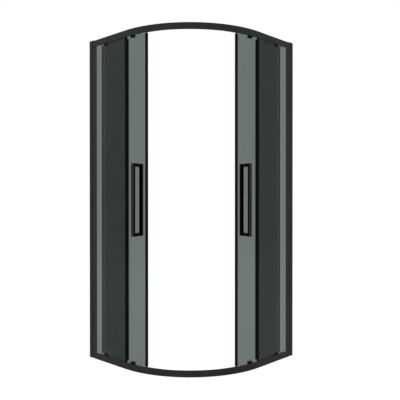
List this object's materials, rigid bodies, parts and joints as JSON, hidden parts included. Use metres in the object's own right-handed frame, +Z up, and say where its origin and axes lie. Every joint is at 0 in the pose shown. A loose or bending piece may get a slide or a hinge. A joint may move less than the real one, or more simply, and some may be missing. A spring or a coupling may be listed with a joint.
{
  "type": "shower enclosure",
  "caption": "Quadrant corner shower enclosure with curved black rails, smoked fixed panes, and curved smoked doors that slide open on rollers, with square bar handles.",
  "frame": {"origin": "middle of the footprint's bounding square, on the floor under the bottom rail", "axes": "+Z up; the left wall is at -X and the right wall at +Y, so the room corner is at -X +Y; the curved front with its doorway faces +X -Y"},
  "size_m": [0.9021, 0.9043, 1.95],
  "materials": {
    "frame": "matt black powder-coated aluminium",
    "trim": "black powder-coated aluminium",
    "cap": "matt black moulded",
    "smoked_glass": "smoked, clear-polished",
    "seal": "black, soft",
    "handle": "matt black powder-coated",
    "hanger": "matt black powder-coated",
    "track": "anodised",
    "bracket": "die-cast",
    "screw": "plain stainless steel",
    "roller": "white moulded"
  },
  "bodies": {
    "frame": {"top_rail": "frame", "bottom_rail": "frame", "wall_channel_left": "frame", "wall_channel_right": "frame", "channel_cap_left": "cap", "channel_cap_right": "cap", "side_post_left": "frame", "side_post_right": "frame", "fixed_glass_left": "smoked_glass", "fixed_glass_right": "smoked_glass", "glazing_gasket_left": "seal", "glazing_gasket_right": "seal", "edge_profile_left": "trim", "edge_profile_right": "trim", "edge_seal_left": "seal", "edge_seal_right": "seal", "corner_bracket_top_left": "bracket", "corner_bracket_top_right": "bracket", "corner_bracket_bottom_left": "bracket", "corner_bracket_bottom_right": "bracket", "roller_track_top_left": "track", "roller_track_top_right": "track", "roller_track_bottom_left": "track", "roller_track_bottom_right": "track", "door_buffers_left": "seal", "door_buffers_right": "seal", "frame_screws": "screw", "adjusting_screws": "screw"},
    "door_left": {"door_glass_left": "smoked_glass", "leading_seal_left": "seal", "trailing_seal_left": "seal", "outer_handle_left": "handle", "inner_handle_left": "handle", "handle_studs_left": "screw", "clamp_bolts_left": "screw", "hanger_top_lead_left": "hanger", "hanger_top_trail_left": "hanger", "hanger_bottom_lead_left": "hanger", "hanger_bottom_trail_left": "hanger"},
    "roller_top_lead_left": {"roller_top_lead_left": "roller"},
    "roller_top_trail_left": {"roller_top_trail_left": "roller"},
    "roller_bottom_lead_left": {"roller_bottom_lead_left": "roller"},
    "roller_bottom_trail_left": {"roller_bottom_trail_left": "roller"},
    "door_right": {"door_glass_right": "smoked_glass", "leading_seal_right": "seal", "trailing_seal_right": "seal", "outer_handle_right": "handle", "inner_handle_right": "handle", "handle_studs_right": "screw", "clamp_bolts_right": "screw", "hanger_top_lead_right": "hanger", "hanger_top_trail_right": "hanger", "hanger_bottom_lead_right": "hanger", "hanger_bottom_trail_right": "hanger"},
    "roller_top_lead_right": {"roller_top_lead_right": "roller"},
    "roller_top_trail_right": {"roller_top_trail_right": "roller"},
    "roller_bottom_lead_right": {"roller_bottom_lead_right": "roller"},
    "roller_bottom_trail_right": {"roller_bottom_trail_right": "roller"}
  },
  "joints": [
    {"name": "door_left_travel", "type": "hinge", "parent": "frame", "child": "door_left", "pos_m": [-0.1883, 0.35573, 0.9735], "axis": [0, 0, 1], "range_deg": [0, 20.15]},
    {"name": "roller_top_lead_left_spin", "type": "hinge", "parent": "door_left", "child": "roller_top_lead_left", "pos_m": [-0.07041, -0.40802, 1.9348], "axis": [0.1525, -0.9883, 0], "range_deg": [-2082, 5]},
    {"name": "roller_top_trail_left_spin", "type": "hinge", "parent": "door_left", "child": "roller_top_trail_left", "pos_m": [-0.32348, -0.40515, 1.9348], "axis": [-0.1749, -0.9846, 0], "range_deg": [-2082, 5]},
    {"name": "roller_bottom_lead_left_spin", "type": "hinge", "parent": "door_left", "child": "roller_bottom_lead_left", "pos_m": [-0.07041, -0.40802, 0.0122], "axis": [0.1525, -0.9883, 0], "range_deg": [-5, 2082]},
    {"name": "roller_bottom_trail_left_spin", "type": "hinge", "parent": "door_left", "child": "roller_bottom_trail_left", "pos_m": [-0.32348, -0.40515, 0.0122], "axis": [-0.1749, -0.9846, 0], "range_deg": [-5, 2082]},
    {"name": "door_right_travel", "type": "hinge", "parent": "frame", "child": "door_right", "pos_m": [-0.35573, 0.1883, 0.9735], "axis": [0, 0, -1], "range_deg": [-0.8, 19.35]},
    {"name": "roller_top_lead_right_spin", "type": "hinge", "parent": "door_right", "child": "roller_top_lead_right", "pos_m": [0.4063, 0.05976, 1.9348], "axis": [-0.9861, 0.1663, 0], "range_deg": [-1999, 88]},
    {"name": "roller_top_trail_right_spin", "type": "hinge", "parent": "door_right", "child": "roller_top_trail_right", "pos_m": [0.40696, 0.31284, 1.9348], "axis": [-0.9869, -0.1612, 0], "range_deg": [-1999, 88]},
    {"name": "roller_bottom_lead_right_spin", "type": "hinge", "parent": "door_right", "child": "roller_bottom_lead_right", "pos_m": [0.4063, 0.05976, 0.0122], "axis": [-0.9861, 0.1663, 0], "range_deg": [-88, 1999]},
    {"name": "roller_bottom_trail_right_spin", "type": "hinge", "parent": "door_right", "child": "roller_bottom_trail_right", "pos_m": [0.40696, 0.31284, 0.0122], "axis": [-0.9869, -0.1612, 0], "range_deg": [-88, 1999]}
  ],
  "couplings": [
    {"joint": "roller_top_lead_left_spin", "follows": "door_left_travel", "ratio": -103.04},
    {"joint": "roller_top_trail_left_spin", "follows": "door_left_travel", "ratio": -103.04},
    {"joint": "roller_bottom_lead_left_spin", "follows": "door_left_travel", "ratio": 103.04},
    {"joint": "roller_bottom_trail_left_spin", "follows": "door_left_travel", "ratio": 103.04},
    {"joint": "roller_top_lead_right_spin", "follows": "door_right_travel", "ratio": -103.04},
    {"joint": "roller_top_trail_right_spin", "follows": "door_right_travel", "ratio": -103.04},
    {"joint": "roller_bottom_lead_right_spin", "follows": "door_right_travel", "ratio": 103.04},
    {"joint": "roller_bottom_trail_right_spin", "follows": "door_right_travel", "ratio": 103.04}
  ]
}
